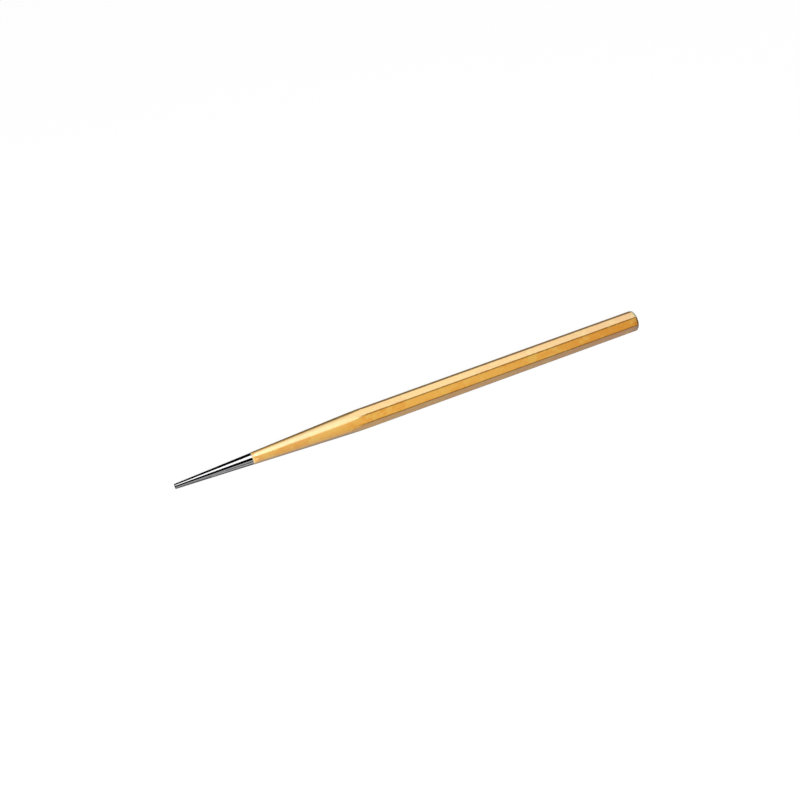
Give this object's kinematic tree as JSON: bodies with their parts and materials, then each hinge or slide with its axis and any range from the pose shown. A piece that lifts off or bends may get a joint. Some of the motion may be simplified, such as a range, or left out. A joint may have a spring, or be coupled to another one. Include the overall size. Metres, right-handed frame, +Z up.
{
  "type": "taper punch",
  "caption": "Octagonal steel punch with a long turned taper, a flat bright tip and a chamfered striking head, lacquered but for the tip; lines up holes and starts pins under a hammer.",
  "frame": {"origin": "on the surface the punch lies on, half way along its length and under its axis", "axes": "+X along the punch from the tip to the striking head, +Z up from the flat it lies on, +Y level and square to both"},
  "size_m": [0.3, 0.0122, 0.0122],
  "materials": {
    "ground_steel": "ground lengthwise and polished bright",
    "gold_lacquer": "semi-gloss gold lacquer, thinner along the bar's edges"
  },
  "bodies": {
    "root": {"punch_bar": "ground_steel", "lacquer_coat": "gold_lacquer"}
  },
  "joints": []
}
